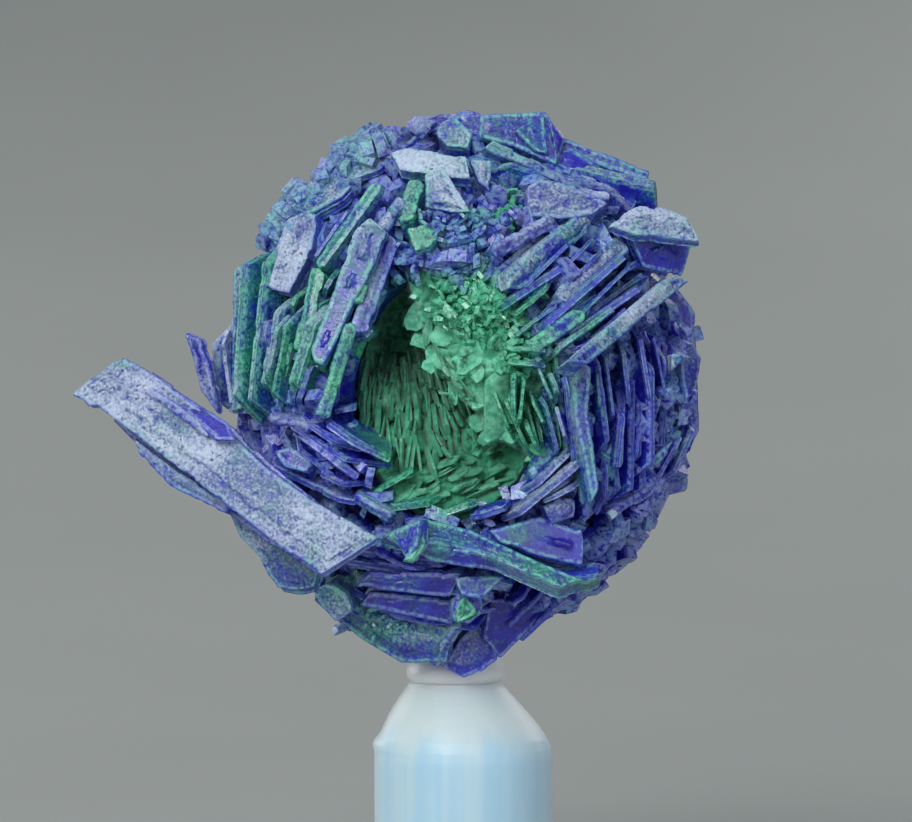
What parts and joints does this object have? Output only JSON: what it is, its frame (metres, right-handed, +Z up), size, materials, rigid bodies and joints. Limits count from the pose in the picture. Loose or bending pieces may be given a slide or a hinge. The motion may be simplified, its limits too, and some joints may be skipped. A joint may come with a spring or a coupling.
{
  "type": "azurite specimen",
  "caption": "Ball-shaped rosette of bladed azurite with a malachite-lined hollow, pressed into putty on a bottle-shaped clear plastic post.",
  "frame": {"origin": "centre of the post's flat foot, on the surface it stands on", "axes": "+Z up along the post's axis, the malachite-lined hollow faces -Y"},
  "size_m": [0.0446, 0.0301, 0.0569],
  "materials": {
    "azurite": "intergrown tabular crystals, glassy on fresh faces and frosted on weathered ones",
    "malachite": "earthy to velvety crust",
    "putty": "hand-pressed translucent putty",
    "post_plastic": "polished translucent plastic"
  },
  "bodies": {
    "root": {"azurite_rosette": "azurite", "malachite_crust": "malachite", "putty_collar": "putty", "post": "post_plastic"}
  },
  "joints": []
}
